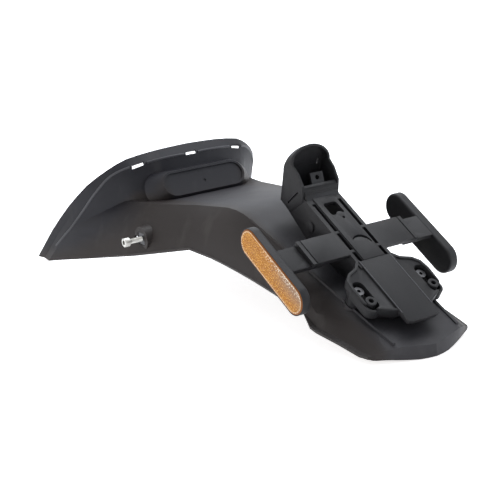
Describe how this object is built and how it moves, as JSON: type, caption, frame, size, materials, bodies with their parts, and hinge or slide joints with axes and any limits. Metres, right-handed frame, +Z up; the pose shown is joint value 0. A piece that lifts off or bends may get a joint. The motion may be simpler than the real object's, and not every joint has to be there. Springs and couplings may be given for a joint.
{
  "type": "motorbike tail tidy",
  "caption": "Rear mudguard with a flared arch, number-plate bracket, hollow lamp hood and side arms that carry amber reflectors.",
  "frame": {"origin": "on the floor under the middle of the bounding box", "axes": "+X to the bike's right, +Y to the bike's front, +Z up as the part lies on its wheel side"},
  "size_m": [0.24, 0.46, 0.1444],
  "materials": {
    "black_plastic": "fine grained satin",
    "amber_lens": "clear prismatic",
    "zinc_steel": "bright zinc",
    "dark_steel": "dark zinc"
  },
  "bodies": {
    "root": {"mudguard": "black_plastic", "plate_bracket": "black_plastic", "reflector_holder_left": "black_plastic", "reflector_lens_left": "amber_lens", "holder_screw_left": "zinc_steel", "pod_washer_left": "zinc_steel", "pod_screw_left": "dark_steel", "pod_nut_left": "zinc_steel", "clip_nut_left": "dark_steel", "side_screw_left": "zinc_steel", "reflector_holder_right": "black_plastic", "reflector_lens_right": "amber_lens", "holder_screw_right": "zinc_steel", "pod_washer_right": "zinc_steel", "pod_screw_right": "dark_steel", "pod_nut_right": "zinc_steel", "clip_nut_right": "dark_steel", "side_screw_right": "zinc_steel", "spine_washer": "zinc_steel", "spine_screw": "zinc_steel"}
  },
  "joints": []
}
